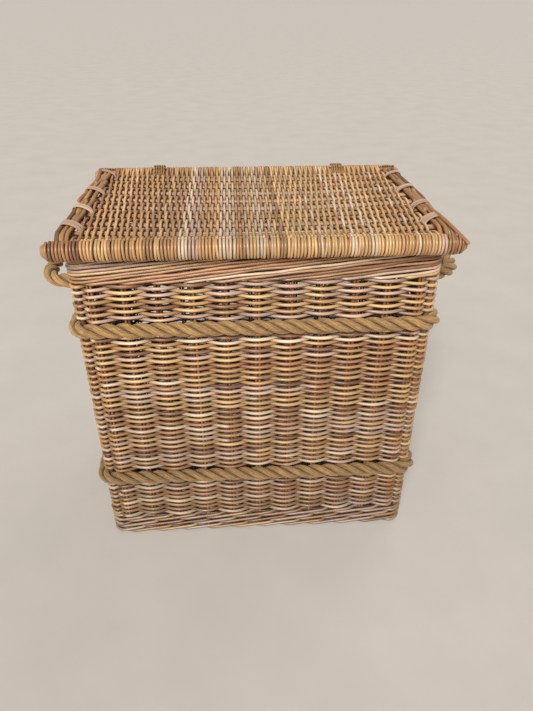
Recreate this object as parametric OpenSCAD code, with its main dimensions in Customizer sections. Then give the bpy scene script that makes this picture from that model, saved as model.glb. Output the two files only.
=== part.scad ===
/* [Body] */
// Width over the woven walls
body_w = 560; // [550:10:600]
// Depth over the woven walls
body_d = 380; // [360:10:400]
// Height of the top border
body_h = 570; // [560:5:620]
// Outer radius of the wall corners
corner_r = 22; // [18:1:30]
// Height of the foot border
foot_h = 45; // [45:1:60]
// Height of the top border's own strands
border_h = 43; // [35:1:48]
// How far both borders stand proud of the weave
border_proud = 1.5; // [0.5:0.5:3]
// Thickness of both borders
border_t = 18; // [16:0.5:20]

/* [Weave] */
// Diameter of one weaving strand
strand_d = 5; // [4:0.5:6]
// Diameter of one stake
stake_d = 5; // [4:0.5:6]
// Distance between neighbouring stake pairs
stake_pitch = 50; // [44:1:50]
// Stake pairs along the front and along the back
long_pairs = 11; // [7:2:11]
// Stake pairs along each side
short_pairs = 7; // [5:2:7]
// Diameter of a corner post
post_d = 9; // [6:0.5:10]

/* [Base] */
// Height of the underside of the base above the floor
base_z = 24; // [18:1:30]
// Thickness of the woven base
base_t = 14; // [13:0.5:16]
// Diameter of a base stick
base_stick_d = 8; // [5:0.5:9]
// Number of base sticks
base_stick_count = 9; // [5:2:9]

/* [Rope] */
// Diameter of the rope hoops and handles
rope_d = 24; // [20:1:24]
// Height of the middle of the lower hoop
lower_hoop_z = 148; // [140:1:170]
// Height of the middle of the upper hoop
upper_hoop_z = 452; // [445:1:455]
// Height of the opening in the weave that a hoop lies in
hoop_gap = 28; // [28:1:30]
// Height of the rope handles
handle_z = 485; // [484:1:488]
// Half the distance between a handle's two ends
handle_half = 75; // [74:1:76]
// How far the middle of the handle's rope stands out from the wall
handle_reach = 70; // [60:1:80]
// Radius of the handle's outer bends
handle_bend = 45; // [30:1:50]

/* [Lid] */
// Diameter of the lid's front and back rods
rod_d = 22; // [18:1:24]
// Thickness of the strands bound round the rods
binding_t = 4.8; // [4:0.2:5.4]
// Length of the bound rods
roll_w = 590; // [584:2:604]
// Distance of the back rod's axis, the hinge line, from the middle of the hamper
back_rod_y = 195; // [193:1:198]
// Thickness of the lid's weave
panel_t = 15.8; // [14:0.2:16]
// Diameter of one cross stick
cross_d = 5.4; // [4.4:0.2:5.6]
// Cross stick pairs
cross_pairs = 8; // [4:1:8]
// Distance between the two sticks of a pair
cross_apart = 6.2; // [6:0.2:6.4]
// Distance between neighbouring cross stick pairs
cross_pitch = 42; // [40:1:42]
// Diameter of the rods in the side rails
rail_rod_d = 8; // [6:0.5:8]
// Rods side by side in a rail
rail_rods = 3; // [2:1:3]
// How far the bound rods reach past the side rails
roll_past_rail = 8; // [4:1:12]

/* [Hinges] */
// Distance of the hinge cords from the middle
hinge_x = 175; // [170:1:180]
// Width of the cord's turns side by side
hinge_w = 23; // [16:1:24]
// Thickness of the cord
hinge_t = 5.2; // [4:0.2:6]
// How far a hinge cord reaches down the border
hinge_drop = 30; // [26:1:34]

/* [Hidden] */
$fn = 64;
gap = 0.3;
wall_t = 2 * strand_d + stake_d;
rest_gap = 0.4;

weave_top = body_h - border_h;
lower_hoop_low = lower_hoop_z - hoop_gap / 2;
lower_hoop_high = lower_hoop_z + hoop_gap / 2;
upper_hoop_low = upper_hoop_z - hoop_gap / 2;
upper_hoop_high = upper_hoop_z + hoop_gap / 2;

border_w = body_w + 2 * border_proud;
border_d = body_d + 2 * border_proud;
border_r = corner_r + border_proud;
inner_w = border_w - 2 * border_t;
inner_d = border_d - 2 * border_t;

post_x = body_w / 2 - corner_r + (corner_r - wall_t / 2) * cos(45);
post_y = body_d / 2 - corner_r + (corner_r - wall_t / 2) * sin(45);

rope_r = rope_d / 2;
stake_face = strand_d;
rope_sink = 5;
rope_out = rope_r - stake_face - rope_sink;
rope_seat = stake_face - 0.1;
knuckle_r = rope_r - 1;

handle_out = body_w / 2 + handle_reach;
pivot_x = body_w / 2 + 1 + rope_r + gap;
run_bend = 14;
run_x = body_w / 2 - wall_t - 0.5 - run_bend;

roll_r = rod_d / 2 + binding_t;
roll_z = body_h + roll_r + rest_gap;
lid_top = roll_z + roll_r;
panel_low = lid_top - panel_t;
cross_z = lid_top - panel_t / 2;
front_rod_y = back_rod_y + gap + hinge_t;
lid_mid_y = (back_rod_y - front_rod_y) / 2;
rail_mid = roll_w / 2 - roll_past_rail - rail_rods * rail_rod_d / 2;
rail_in = rail_mid - rail_rods * rail_rod_d / 2 - gap;
lash_t = 2;
lash_w = 8;
lash_count = 4;
lash_pitch = 2.5 * cross_pitch;

cord_bore = roll_r + gap;
cord_r = cord_bore + hinge_t;
slot_low = body_h - hinge_drop;

sisal = "#a78d5b";
honey = "#c69a63";
cream = "#dcc39a";
brown = "#a8734a";
blush = "#dcb79b";

// A rectangle with round corners, drawn from its squares and circles
module rounded(w, d, r) {
    square([w - 2 * r, d], center = true);
    square([w, d - 2 * r], center = true);
    for (x = [-1, 1], y = [-1, 1])
        translate([x * (w / 2 - r), y * (d / 2 - r)]) circle(r);
}

// The flat ring of a wall, its outer face inset from the weave's outer face
module wall_ring(w, d, r, t) {
    difference() {
        rounded(w, d, r);
        rounded(w - 2 * t, d - 2 * t, r - t);
    }
}

// A cylinder along the X axis
module rod_x(len, r) {
    rotate([0, 90, 0]) cylinder(h = len, r = r, center = true);
}

// A cylinder along the Y axis
module rod_y(len, r) {
    rotate([90, 0, 0]) cylinder(h = len, r = r, center = true);
}

// The room that the four corner posts take, cut from what lies against them
module post_circles() {
    for (x = [-1, 1], y = [-1, 1])
        translate([x * post_x, y * post_y]) circle(d = post_d + gap);
}

// One band of weaving: the strands outside the stakes and those inside them
module weave_band(low, high) {
    inside = 2 * (wall_t - strand_d);
    translate([0, 0, low]) linear_extrude(high - low) difference() {
        union() {
            wall_ring(body_w, body_d, corner_r, strand_d);
            wall_ring(body_w - inside, body_d - inside, corner_r - inside / 2, strand_d);
        }
        post_circles();
    }
}

// A row of stake pairs along X, in the middle of the wall
module stake_row(pairs) {
    for (i = [0 : pairs - 1], side = [-1, 1])
        translate([(i - (pairs - 1) / 2) * stake_pitch + side * stake_d / 2, 0, foot_h])
            cylinder(h = weave_top - foot_h, d = stake_d);
}

module corner_post(x, y) {
    color(brown) translate([x * post_x, y * post_y, foot_h])
        cylinder(h = weave_top - foot_h, d = post_d);
}

module foot_border() {
    color(honey) difference() {
        linear_extrude(foot_h) wall_ring(border_w, border_d, border_r, border_t);
        base_sticks();
    }
}

module base_panel() {
    color(honey) difference() {
        translate([0, 0, base_z])
            linear_extrude(base_t) rounded(inner_w, inner_d, border_r - border_t);
        base_sticks();
    }
}

module base_sticks() {
    pitch = inner_d / (base_stick_count + 1);
    color(brown)
        for (i = [1 : base_stick_count])
            translate([0, i * pitch - inner_d / 2, base_z + base_t / 2])
                rod_x(inner_w + border_t, base_stick_d / 2);
}

module stakes_front() {
    color(cream) translate([0, -(body_d - wall_t) / 2, 0]) stake_row(long_pairs);
}

module stakes_back() {
    color(cream) translate([0, (body_d - wall_t) / 2, 0]) stake_row(long_pairs);
}

module stakes_left() {
    color(cream) translate([-(body_w - wall_t) / 2, 0, 0]) rotate(90) stake_row(short_pairs);
}

module stakes_right() {
    color(cream) translate([(body_w - wall_t) / 2, 0, 0]) rotate(90) stake_row(short_pairs);
}

module weave_lower() {
    color(honey) weave_band(foot_h, lower_hoop_low);
}

module weave_middle() {
    color(honey) weave_band(lower_hoop_high, upper_hoop_low);
}

// The two ends of each handle's rope pass through this band
module weave_upper() {
    color(honey) difference() {
        weave_band(upper_hoop_high, weave_top);
        for (y = [-1, 1])
            translate([0, y * handle_half, handle_z]) rod_x(body_w + 10, rope_r + 0.1);
    }
}

// Cords pass under the upper strands of this border at both hinges
module top_border() {
    color(honey) difference() {
        translate([0, 0, weave_top])
            linear_extrude(border_h) wall_ring(border_w, border_d, border_r, border_t);
        for (x = [-1, 1])
            translate([x * hinge_x, (border_d - border_t) / 2, slot_low + hinge_t / 2])
                cube([hinge_w + gap, 2 * border_t, hinge_t + gap], center = true);
    }
}

// The rope's round section, with a flat where it presses on the stakes
module rope_section(from_centre) {
    difference() {
        translate([from_centre + rope_out, 0]) circle(rope_r);
        translate([from_centre - rope_seat - 2 * rope_r, -rope_r]) square([2 * rope_r, 2 * rope_r]);
    }
}

// The closed ring of rope, all round the wall
module rope_ring() {
    long = body_w - 2 * corner_r;
    short = body_d - 2 * corner_r;
    for (s = [-1, 1]) {
        translate([s * long / 2, 0, 0]) rotate([90, 0, 0])
            linear_extrude(short, center = true) scale([s, 1]) rope_section(corner_r);
        translate([0, s * short / 2, 0]) rotate([90, 0, s * 90])
            linear_extrude(long, center = true) rope_section(corner_r);
    }
    for (x = [0, 1], y = [0, 1])
        mirror([x, 0, 0]) mirror([0, y, 0])
            translate([long / 2, short / 2, 0])
                rotate_extrude(angle = 90) rope_section(corner_r);
}

// A rope hoop that lies on the stakes and posts all round, in a gap in the weave
module rope_hoop(z) {
    color(sisal) translate([0, 0, z]) difference() {
        rope_ring();
        translate([0, 0, -rope_d]) linear_extrude(2 * rope_d) post_circles();
    }
}

module rope_hoop_lower() {
    rope_hoop(lower_hoop_z);
}

module rope_hoop_upper() {
    rope_hoop(upper_hoop_z);
}

// A quarter bend of rope round the point (x, y), for the +Y end of the right handle
module rope_bend(x, y, bend, from) {
    translate([x, y, 0]) rotate(from) rotate_extrude(angle = 90)
        translate([bend, 0]) circle(rope_r);
}

// The loop outside the wall; its ends are round about the line it swings on
module handle_loop() {
    bend_x = handle_out - handle_bend;
    bend_y = handle_half - handle_bend;
    for (y = [-1, 1]) {
        translate([0, y * handle_half, 0]) {
            translate([(pivot_x + bend_x) / 2, 0, 0]) rod_x(bend_x - pivot_x, rope_r);
            translate([pivot_x, 0, 0]) intersection() {
                rod_x(2 * rope_r, rope_r);
                rod_y(2 * rope_r, knuckle_r);
            }
        }
        mirror([0, y < 0 ? 1 : 0, 0]) rope_bend(bend_x, bend_y, handle_bend, 0);
    }
    translate([handle_out, 0, 0]) rod_y(2 * bend_y, rope_r);
}

// The same rope where it passes through the wall and runs along inside it
module handle_run() {
    leg_end = body_w / 2 + 1;
    leg_start = run_x + run_bend;
    for (y = [-1, 1]) {
        translate([(leg_start + leg_end) / 2, y * handle_half, 0])
            rod_x(leg_end - leg_start, rope_r);
        mirror([0, y < 0 ? 1 : 0, 0])
            rope_bend(leg_start, handle_half - run_bend, run_bend, 90);
    }
    translate([run_x, 0, 0]) rod_y(2 * (handle_half - run_bend), rope_r);
}

module handle_right() {
    color(sisal) translate([0, 0, handle_z]) handle_loop();
}

module handle_left() {
    color(sisal) mirror([1, 0, 0]) translate([0, 0, handle_z]) handle_loop();
}

module handle_run_right() {
    color(sisal) translate([0, 0, handle_z]) handle_run();
}

module handle_run_left() {
    color(sisal) mirror([1, 0, 0]) translate([0, 0, handle_z]) handle_run();
}

// Turns of cord round the lid's back rod, down both faces of the border and through it
module hinge_cord(x) {
    inside = border_d / 2 - border_t - 0.2;
    outside = border_d / 2 + 0.2;
    color(sisal) translate([x - hinge_w / 2, 0, 0]) rotate([90, 0, 90]) linear_extrude(hinge_w)
        difference() {
            union() {
                translate([back_rod_y, roll_z]) circle(cord_r);
                translate([inside - hinge_t, slot_low])
                    square([outside - inside + 2 * hinge_t, hinge_drop + hinge_t + 1]);
            }
            translate([back_rod_y, roll_z]) circle(cord_bore);
            translate([inside, slot_low + hinge_t])
                square([outside - inside, hinge_drop - hinge_t + 0.1]);
        }
}

module hinge_cord_left() {
    hinge_cord(-hinge_x);
}

module hinge_cord_right() {
    hinge_cord(hinge_x);
}

module lid_rod(y) {
    color(brown) translate([0, y, roll_z]) rod_x(roll_w + 4, rod_d / 2);
}

module lid_binding(y) {
    color(cream) translate([0, y, roll_z]) difference() {
        rod_x(roll_w, roll_r);
        rod_x(roll_w + 2, rod_d / 2);
    }
}

module lid_front_rod() {
    lid_rod(-front_rod_y);
}

module lid_back_rod() {
    lid_rod(back_rod_y);
}

module lid_front_binding() {
    lid_binding(-front_rod_y);
}

module lid_back_binding() {
    lid_binding(back_rod_y);
}

// The room that both bound rods take, cut from what runs up to them
module bound_rods() {
    for (y = [-front_rod_y, back_rod_y])
        translate([0, y, roll_z]) rod_x(roll_w + 4, roll_r);
}

// Its children, at each lashing of one side rail, clear of the cross sticks
module at_lashings(x) {
    for (i = [0 : lash_count - 1])
        translate([x * rail_mid, lid_mid_y + (i - (lash_count - 1) / 2) * lash_pitch, cross_z])
            children();
}

// The woven top, notched where the hinge cords go round the back rod and at the lashings
module lid_panel() {
    meet = roll_r * 0.6;
    front = front_rod_y - meet;
    depth = front + back_rod_y - meet;
    notch = back_rod_y - cord_r - 1.5;
    lash_room = 2 * (rail_mid - rail_in + lash_t + gap);
    color(honey) difference() {
        translate([-rail_in, -front, panel_low]) cube([2 * rail_in, depth, panel_t]);
        bound_rods();
        for (x = [-1, 1])
            translate([x * hinge_x - hinge_w / 2 - 1, notch, panel_low - 1])
                cube([hinge_w + 2, cord_r, panel_t + 2]);
        for (x = [-1, 1])
            at_lashings(x) cube([lash_room, lash_w + 2 * gap, 2 * panel_t], center = true);
        lid_sticks();
    }
}

// Pairs of sticks across the lid, their ends held between the rods of the side rails
module lid_sticks() {
    color(cream)
        for (i = [0 : cross_pairs - 1], side = [-1, 1])
            translate([0, lid_mid_y + (i - (cross_pairs - 1) / 2) * cross_pitch
                          + side * cross_apart / 2, cross_z])
                rod_x(2 * (rail_mid + rail_rod_d), cross_d / 2);
}

// Two layers of rods with the cross sticks between them, laid up to the bound rods
module lid_rail(x) {
    layer = (cross_d + rail_rod_d) / 2 + 0.1;
    color(brown) difference() {
        for (i = [0 : rail_rods - 1], z = [-1, 1])
            translate([x * (rail_mid + (i - (rail_rods - 1) / 2) * rail_rod_d), lid_mid_y,
                       cross_z + z * layer])
                rod_y(back_rod_y + front_rod_y, rail_rod_d / 2);
        bound_rods();
    }
}

module lid_rail_left() {
    lid_rail(-1);
}

module lid_rail_right() {
    lid_rail(1);
}

// Flat turns of cane round a side rail
module rail_lashings(x) {
    inner_x = rail_rods * rail_rod_d + 2 * gap;
    inner_z = cross_d + 2 * rail_rod_d + 0.2 + 2 * gap;
    color(blush) at_lashings(x) rotate([90, 0, 0]) linear_extrude(lash_w, center = true)
        difference() {
            square([inner_x + 2 * lash_t, inner_z + 2 * lash_t], center = true);
            square([inner_x, inner_z], center = true);
        }
}

module rail_lashings_left() {
    rail_lashings(-1);
}

module rail_lashings_right() {
    rail_lashings(1);
}

foot_border();
base_panel();
base_sticks();
corner_post(-1, -1);  // corner_post_front_left
corner_post(1, -1);  // corner_post_front_right
corner_post(-1, 1);  // corner_post_back_left
corner_post(1, 1);  // corner_post_back_right
stakes_front();
stakes_back();
stakes_left();
stakes_right();
weave_lower();
weave_middle();
weave_upper();
top_border();
rope_hoop_lower();
rope_hoop_upper();
handle_run_left();
handle_run_right();
handle_left();
handle_right();
hinge_cord_left();
hinge_cord_right();
lid_front_rod();
lid_back_rod();
lid_front_binding();
lid_back_binding();
lid_panel();
lid_sticks();
lid_rail_left();
lid_rail_right();
rail_lashings_left();
rail_lashings_right();
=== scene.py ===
"""Looks of a woven laundry hamper: rope hoops, rope handles and a hinged woven lid."""

import math

import bpy
import numpy as np
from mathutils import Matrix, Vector


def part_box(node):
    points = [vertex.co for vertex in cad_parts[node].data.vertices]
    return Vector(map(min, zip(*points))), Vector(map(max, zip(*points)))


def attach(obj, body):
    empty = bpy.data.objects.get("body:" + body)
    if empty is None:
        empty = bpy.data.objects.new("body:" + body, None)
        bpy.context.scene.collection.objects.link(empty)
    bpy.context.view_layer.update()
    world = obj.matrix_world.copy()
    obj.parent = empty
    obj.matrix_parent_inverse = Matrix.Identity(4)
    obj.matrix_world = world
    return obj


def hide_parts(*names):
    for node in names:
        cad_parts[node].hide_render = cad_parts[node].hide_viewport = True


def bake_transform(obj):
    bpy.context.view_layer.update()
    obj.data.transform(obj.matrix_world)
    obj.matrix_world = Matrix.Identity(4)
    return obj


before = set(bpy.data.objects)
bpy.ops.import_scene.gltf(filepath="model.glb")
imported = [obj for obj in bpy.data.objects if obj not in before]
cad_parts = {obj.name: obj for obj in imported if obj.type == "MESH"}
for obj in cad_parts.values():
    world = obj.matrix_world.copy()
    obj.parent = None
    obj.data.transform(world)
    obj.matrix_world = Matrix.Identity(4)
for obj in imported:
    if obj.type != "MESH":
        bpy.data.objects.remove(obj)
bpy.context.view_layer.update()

MM = 0.001
UP = np.array([0.0, 0.0, 1.0])
ALONG_X = np.array([1.0, 0.0, 0.0])
ALONG_Y = np.array([0.0, 1.0, 0.0])

# The wall, worked out from the woven band between the two rope hoops. Its sides are taken in the
# order front, right, back and left.
WALL_HALF = np.array(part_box("weave_middle")[1])[:2]
WALL_T = 15 * MM
CORNER_R = 22 * MM
STAKE_PITCH = 50 * MM
PAIRS = (11, 7, 11, 7)
STAKE_R = 2.3 * MM
STAKE_APART = 5.4 * MM
POST_R = 4.4 * MM
STAKE_SPAN = (6 * MM, 562 * MM)
POST_SPAN = (8 * MM, 560 * MM)
STRAND_R = 2.8 * MM
ROW_PITCH = 5.35 * MM

# How far strands stand off the stakes, and how far a band reaches behind a rope hoop
BOW = 1.0 * MM
TUCK = 2.5 * MM

# Handwork: how much single strands, rows and rods differ from each other
TINT_SPREAD = (0.82, 1.14)
REACH_SPREAD = (0.92, 1.12)
ROW_SHADES = (0.86, 1.12)
ROW_THICK = (0.9, 1.06)
ROW_SWAY = 0.5 * MM
ROW_NUDGE = 0.28 * MM
ROD_BEND = 0.5 * MM
STRAND_RUN = (4, 18)

# Tints: factors for cane near the floor, and painted shade behind the stakes, towards the inside, on the
# base, on undersides, in grooves and round sunk sides. Rope gets darker towards the floor less than
# cane.
WALL_SHADE = 0.97
STAKE_SHADE = 0.55
DARKEST_AT_FLOOR = 0.58
DARKER_UP_TO = 0.5
ROPE_DARKENING = 0.7
# Painted shade, from here to ROPE_GROOVE: how much darker strands are painted where the light doesn't
# reach
BEHIND = 0.22
INSIDE = 0.45
BASE_SHADE = 0.4
UNDERSIDE = 0.62
GROOVE = 0.5
SUNK = 0.78
SUNK_UP_TO = 0.45
ROPE_GROOVE = 0.3

# Points per stretch and round each tube
STEPS_PER_PAIR = 8
STEPS_PER_STAKE = 24
SIDES = 8

# Two more rings round off each end of a tube
END_THIN = np.array([0.05, 0.75])
END_REACH = (0.55, 0.35)

# Strand colours as they look in soft daylight, in sRGB
CREAM = (0.92, 0.83, 0.69)
STRAW = (0.88, 0.74, 0.51)
HONEY = (0.82, 0.65, 0.43)
TAN = (0.74, 0.58, 0.40)
BLUSH = (0.83, 0.71, 0.61)
ORANGE = (0.74, 0.54, 0.36)
BROWN = (0.58, 0.42, 0.29)
UMBER = (0.38, 0.26, 0.19)
SISAL = (0.70, 0.54, 0.33)

# Aged cane is a little warmer than these colours: red, green and blue of the light it gives back
WARMTH = np.array([1.0, 0.91, 0.9])

WALL_MIX = {CREAM: 4, STRAW: 5, HONEY: 6, TAN: 5, BLUSH: 5, ORANGE: 3, BROWN: 2}
FOOT_MIX = {BLUSH: 4, TAN: 4, HONEY: 4, CREAM: 3, STRAW: 2, BROWN: 1, ORANGE: 2}
BORDER_MIX = {STRAW: 4, HONEY: 3, CREAM: 6, BLUSH: 4, TAN: 3, ORANGE: 2, BROWN: 1}
LID_MIX = {CREAM: 3, STRAW: 6, HONEY: 6, TAN: 5, BLUSH: 1}
STAKE_MIX = {BROWN: 3, TAN: 5, HONEY: 2, ORANGE: 1}
ROD_MIX = {ORANGE: 4, HONEY: 4, TAN: 3, BROWN: 1}


def linear(colour):
    """An sRGB colour as the renderer wants it."""
    c = np.asarray(colour, float)
    return np.where(c <= 0.04045, c / 12.92, ((c + 0.055) / 1.055) ** 2.4)


def draws(seed):
    """A source of random numbers that gives the same ones at each run."""
    return np.random.default_rng(seed)


def pick(rng, mix, count):
    """Colours drawn from a mix, one row each, each a little lighter or darker."""
    colours = np.array([linear(c) for c in mix])
    weights = np.array(list(mix.values()), float)
    chosen = colours[rng.choice(len(colours), count, p=weights / weights.sum())]
    return chosen * WARMTH * rng.uniform(*TINT_SPREAD, (count, 1))


def unit(vectors):
    """Vectors of length one, along the last axis."""
    return vectors / np.linalg.norm(vectors, axis=-1, keepdims=True)


def ease(t):
    """A smooth step from 0 to 1."""
    t = np.clip(t, 0, 1)
    return (1 - np.cos(np.pi * t)) / 2


def lengths(paths):
    """Distance along each path at each of its points."""
    steps = np.linalg.norm(np.diff(paths, axis=-2), axis=-1)
    start = np.zeros(paths.shape[:-2] + (1,))
    return np.concatenate([start, np.cumsum(steps, axis=-1)], axis=-1)


def heading(points):
    """The direction of closed paths at each of their points."""
    return unit(np.roll(points, -1, axis=-2) - np.roll(points, 1, axis=-2))


def resample(points, step, closed=False):
    """The same route with points about one step apart."""
    points = np.asarray(points, float)
    if closed:
        points = np.vstack([points, points[:1]])
    along = lengths(points)
    count = max(4, int(round(along[-1] / step)))
    places = np.linspace(0, along[-1], count, endpoint=not closed)
    return np.stack([np.interp(places, along, points[:, i]) for i in range(3)], axis=1)


def smooth(points, rounds, closed=True):
    """Points moved towards the mean of their neighbours, a few times over."""
    for _ in range(rounds):
        before = np.roll(points, 1, axis=0)
        after = np.roll(points, -1, axis=0)
        mean = (before + after) / 2
        if not closed:
            mean[0] = points[0]
            mean[-1] = points[-1]
        points = (points + mean) / 2
    return points


def crooked(rng, places, size, rounds):
    """Small soft bends for a rod with these places along it."""
    return smooth(rng.normal(0, size, (len(places), 3)), rounds)


def centre_of(node):
    """The middle of a CAD node's box."""
    low, high = (np.array(corner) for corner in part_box(node))
    return (low + high) / 2


def below(points, turn):
    """Painted shade on the underside of level strands, which the light doesn't reach."""
    return 1 - UNDERSIDE * np.clip(-np.sin(turn), 0, 1)


def sunk(points, turn):
    """Painted shade all round strands that lie close together, but for their upper side."""
    return 1 - SUNK * np.clip(SUNK_UP_TO - np.sin(turn), 0, 1)


def flanks(points, turn):
    """Painted shade in the grooves between strands that lie side by side."""
    return 1 - GROOVE * np.sin(turn) ** 2


def add_object(name, data):
    """A new object in the scene."""
    thing = bpy.data.objects.new(name, data)
    bpy.context.scene.collection.objects.link(thing)
    return thing


class Strands:
    """Tubes gathered into one mesh, which keeps each point's colour and place on its strand."""

    def __init__(self, seed):
        self.points = []
        self.faces = []
        self.tints = []
        self.fibres = []
        self.count = 0
        self.rng = draws(seed)

    def add(self, paths, radii, tints, up, closed=False, sides=SIDES, shape=(1.0, 1.0), press=None,
            soil=None):
        """Tubes along paths (strand, point, xyz). Shape flattens them, press moves their points, and the
        last argument paints shade on some of them, where the light doesn't reach."""
        paths = np.asarray(paths, float)
        if paths.ndim == 2:
            paths = paths[None]
        strands, steps = paths.shape[:2]
        radii = np.broadcast_to(radii, (strands, steps))
        tints = np.asarray(tints, float)
        if tints.ndim < 3:
            tints = tints.reshape(-1, 1, 3)
        tints = np.broadcast_to(tints, (strands, steps, 3))
        if not closed:
            paths, radii, tints = self.rounded(paths, radii, tints)
            steps = paths.shape[1]
        along = lengths(paths)
        ahead = heading(paths) if closed else unit(np.gradient(paths, axis=1))
        side = unit(np.cross(ahead, up))
        over = np.cross(side, ahead)
        turn = np.linspace(0, 2 * math.pi, sides, endpoint=False)
        across = np.cos(turn)[None, None, :, None] * side[:, :, None] * shape[0]
        across = across + np.sin(turn)[None, None, :, None] * over[:, :, None] * shape[1]
        points = paths[:, :, None] + across * radii[:, :, None, None]
        if press is not None:
            points = press(points)
        starts = self.rng.uniform(0, 50, (strands, 1, 1))
        fibre = np.empty((strands, steps, sides, 3))
        fibre[..., 0] = along[:, :, None] + starts
        fibre[..., 1] = np.cos(turn) * radii[:, :, None]
        fibre[..., 2] = np.sin(turn) * radii[:, :, None]
        self.points.append(points.reshape(-1, 3))
        colours = np.repeat(tints[:, :, None], sides, axis=2)
        # Painted shade: colours made darker where the light doesn't reach
        if soil is not None:
            colours = colours * soil(points, turn)[..., None]
        self.tints.append(colours.reshape(-1, 3))
        self.fibres.append(fibre.reshape(-1, 3))
        self.faces.append(self.quads(strands, steps, sides, closed) + self.count)
        self.count += strands * steps * sides

    def rounded(self, paths, radii, tints):
        """The same open tubes with round ends."""
        first = unit(paths[:, 0] - paths[:, 1])
        last = unit(paths[:, -1] - paths[:, -2])
        heads = [paths[:, 0] + first * radii[:, :1] * r for r in END_REACH]
        tails = [paths[:, -1] + last * radii[:, -1:] * r for r in reversed(END_REACH)]
        paths = np.concatenate([np.stack(heads, 1), paths, np.stack(tails, 1)], axis=1)
        thin = [radii[:, :1] * END_THIN, radii, radii[:, -1:] * END_THIN[::-1]]
        more = ((0, 0), (len(END_THIN), len(END_THIN)), (0, 0))
        return paths, np.concatenate(thin, axis=1), np.pad(tints, more, mode="edge")

    def quads(self, strands, steps, sides, closed):
        """Point numbers of the four-sided faces of the tubes."""
        rings = steps if closed else steps - 1
        s = np.arange(strands)[:, None, None] * steps * sides
        i = np.arange(rings)[None, :, None]
        j = np.arange(sides)[None, None, :]
        here = i * sides
        there = ((i + 1) % steps) * sides
        after = (j + 1) % sides
        corners = [s + here + j, s + here + after, s + there + after, s + there + j]
        return np.stack(corners, axis=-1).reshape(-1, 4)

    def build(self, name, material, body, slot, *nodes):
        """The finished object, riding on its body in place of the CAD nodes named."""
        points = np.concatenate(self.points)
        faces = np.concatenate(self.faces)
        mesh = bpy.data.meshes.new(name)
        mesh.vertices.add(len(points))
        mesh.vertices.foreach_set("co", points.astype(np.float32).ravel())
        mesh.loops.add(faces.size)
        mesh.loops.foreach_set("vertex_index", faces.astype(np.int32).ravel())
        mesh.polygons.add(len(faces))
        mesh.polygons.foreach_set("loop_start", np.arange(0, faces.size, 4, dtype=np.int32))
        mesh.polygons.foreach_set("use_smooth", np.ones(len(faces), bool))
        mesh.update(calc_edges=True)
        tints = np.concatenate(self.tints)
        rgba = np.hstack([np.clip(tints, 0, 1), np.ones((len(tints), 1))])
        tint = mesh.attributes.new("tint", "FLOAT_COLOR", "POINT")
        tint.data.foreach_set("color", rgba.astype(np.float32).ravel())
        fibre = mesh.attributes.new("fibre", "FLOAT_VECTOR", "POINT")
        fibre.data.foreach_set("vector", np.concatenate(self.fibres).astype(np.float32).ravel())
        mesh.materials.append(material)
        piece = add_object(name, mesh)
        if body:
            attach(piece, body)
        if nodes:
            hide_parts(*nodes)
        return piece


def begin(seed):
    """Random numbers and an empty set of strands, for one piece."""
    return draws(seed), Strands(seed)


# Materials

class Look:
    """A node material built a step at a time."""

    def __init__(self, name):
        self.material = bpy.data.materials.new(name)
        self.material.use_nodes = True
        self.tree = self.material.node_tree
        self.shader = self.tree.nodes["Principled BSDF"]

    def feed(self, node, inputs):
        """Plain values, or the outputs of other nodes, for a node's inputs."""
        for name, value in inputs.items():
            if isinstance(value, bpy.types.NodeSocket):
                self.tree.links.new(value, node.inputs[name])
            else:
                node.inputs[name].default_value = value

    def node(self, kind, inputs, **settings):
        """The outputs of a new node."""
        node = self.tree.nodes.new("ShaderNode" + kind)
        for name, value in settings.items():
            setattr(node, name, value)
        self.feed(node, inputs)
        return node.outputs

    def attribute(self, name, output):
        """A colour or vector kept on the mesh."""
        return self.node("Attribute", {}, attribute_name=name)[output]

    def noise(self, place, stretch, detail=3.0, roughness=0.55):
        """A noise from about 0 to 1; stretch is how fine it is along each axis."""
        scaled = self.node("Mapping", {"Vector": place, "Scale": stretch})["Vector"]
        grain = {"Scale": 1.0, "Detail": detail, "Roughness": roughness}
        return self.node("TexNoise", {"Vector": scaled, **grain})["Fac"]

    def ramp(self, value, low, high, to_low, to_high):
        """value, stretched from one range to another."""
        limits = {"From Min": low, "From Max": high, "To Min": to_low, "To Max": to_high}
        return self.node("MapRange", {"Value": value, **limits})["Result"]

    def tone(self, colour, amount):
        """colour, made lighter or darker by an amount round 1."""
        return self.node("VectorMath", {0: colour, "Scale": amount}, operation="SCALE")["Vector"]

    def mix(self, amount, first, second):
        """Two colours, mixed by an amount; the second is a fixed sRGB colour."""
        inputs = {"Factor": amount, "A": first, "B": (*linear(second), 1)}
        return self.node("Mix", inputs, data_type="RGBA")["Result"]

    def reckon(self, operation, *values):
        """One step of arithmetic."""
        return self.node("Math", dict(enumerate(values)), operation=operation)["Value"]

    def bump(self, height, strength, distance):
        """Ridges in the surface where height is high."""
        inputs = {"Height": height, "Strength": strength, "Distance": distance}
        self.feed(self.shader, {"Normal": self.node("Bump", inputs)["Normal"]})

    def finish(self, colour, roughness, **values):
        """The finished material: its colour, its roughness and what is the same all over it."""
        fixed = {name.replace("_", " "): value for name, value in values.items()}
        self.feed(self.shader, {"Base Color": colour, "Roughness": roughness, **fixed})
        return self.material


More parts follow.
